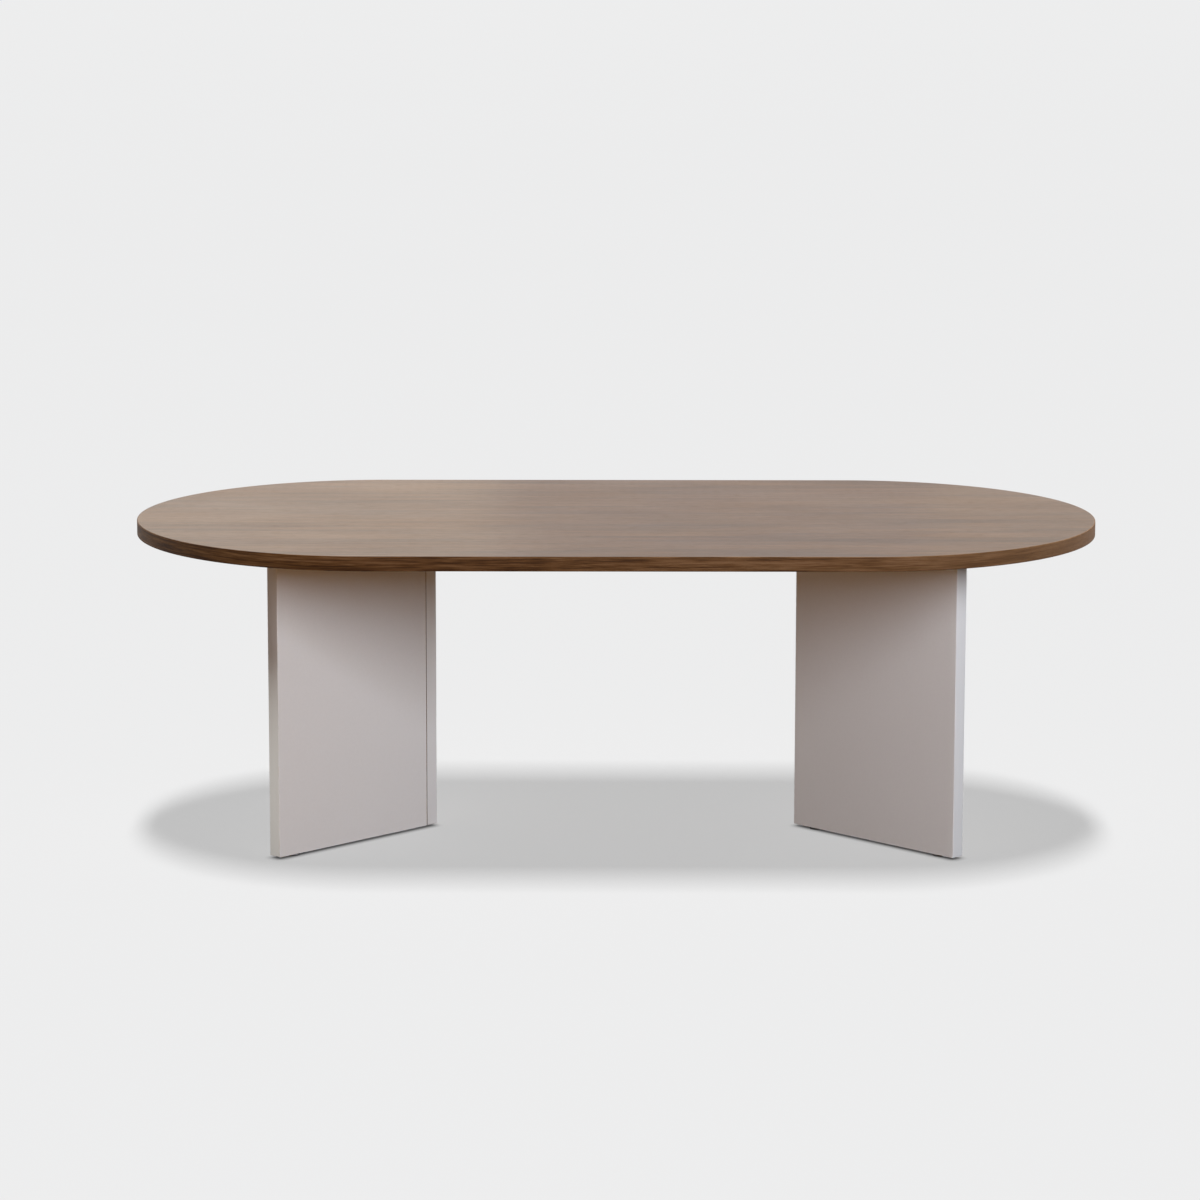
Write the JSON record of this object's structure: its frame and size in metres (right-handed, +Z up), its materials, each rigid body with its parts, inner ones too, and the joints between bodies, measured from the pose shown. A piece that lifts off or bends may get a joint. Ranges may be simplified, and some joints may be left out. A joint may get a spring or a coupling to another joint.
{
  "type": "coffee table",
  "caption": "Low table with a racetrack walnut top on two V-shaped panel bases that stand on levelling glides.",
  "frame": {"origin": "on the floor under the middle of the top", "axes": "+X along the length of the top, +Y across it to the rear, +Z up"},
  "size_m": [1.1998, 0.6, 0.398],
  "materials": {
    "walnut_veneer": "satin lacquered walnut, grain along the top",
    "walnut_band": "satin lacquered walnut, grain round the edge",
    "board_core": "raw pressed fibre board",
    "greige_board": "matte greige melamine on board",
    "greige_band": "matte greige edge band",
    "beech": "fluted beech",
    "zinc_plated_steel": "bright zinc plate",
    "die_cast_zinc": "dull die-cast zinc",
    "brass": "turned brass",
    "nylon": "moulded dark nylon"
  },
  "bodies": {
    "table": {"top_core": "board_core", "top_veneer": "walnut_veneer", "underside_veneer": "walnut_veneer", "top_edge_band": "walnut_band", "top_dowels": "beech", "corner_dowels": "beech", "top_cam_bolts": "zinc_plated_steel", "corner_cam_bolts": "zinc_plated_steel", "top_cam_locks": "die_cast_zinc", "corner_cam_locks": "die_cast_zinc", "left_front_panel": "greige_board", "left_front_foot_band": "greige_band", "left_front_end_band": "greige_band", "left_rear_panel": "greige_board", "left_rear_foot_band": "greige_band", "left_rear_end_band": "greige_band", "right_front_panel": "greige_board", "right_front_foot_band": "greige_band", "right_front_end_band": "greige_band", "right_rear_panel": "greige_board", "right_rear_foot_band": "greige_band", "right_rear_end_band": "greige_band", "left_rear_corner_band": "greige_band", "right_front_corner_band": "greige_band", "left_front_insert": "brass", "left_rear_insert": "brass", "left_corner_insert": "brass", "right_front_insert": "brass", "right_rear_insert": "brass", "right_corner_insert": "brass"},
    "left_front_glide": {"left_front_glide_pad": "nylon", "left_front_glide_stem": "zinc_plated_steel"},
    "left_rear_glide": {"left_rear_glide_pad": "nylon", "left_rear_glide_stem": "zinc_plated_steel"},
    "left_corner_glide": {"left_corner_glide_pad": "nylon", "left_corner_glide_stem": "zinc_plated_steel"},
    "right_front_glide": {"right_front_glide_pad": "nylon", "right_front_glide_stem": "zinc_plated_steel"},
    "right_rear_glide": {"right_rear_glide_pad": "nylon", "right_rear_glide_stem": "zinc_plated_steel"},
    "right_corner_glide": {"right_corner_glide_pad": "nylon", "right_corner_glide_stem": "zinc_plated_steel"}
  },
  "joints": [
    {"name": "left_front_glide_screw", "type": "slide", "parent": "table", "child": "left_front_glide", "axis": [0, 0, -1], "range_m": [0, 0.008]},
    {"name": "left_rear_glide_screw", "type": "slide", "parent": "table", "child": "left_rear_glide", "axis": [0, 0, -1], "range_m": [0, 0.008]},
    {"name": "left_corner_glide_screw", "type": "slide", "parent": "table", "child": "left_corner_glide", "axis": [0, 0, -1], "range_m": [0, 0.008]},
    {"name": "right_front_glide_screw", "type": "slide", "parent": "table", "child": "right_front_glide", "axis": [0, 0, -1], "range_m": [0, 0.008]},
    {"name": "right_rear_glide_screw", "type": "slide", "parent": "table", "child": "right_rear_glide", "axis": [0, 0, -1], "range_m": [0, 0.008]},
    {"name": "right_corner_glide_screw", "type": "slide", "parent": "table", "child": "right_corner_glide", "axis": [0, 0, -1], "range_m": [0, 0.008]}
  ]
}
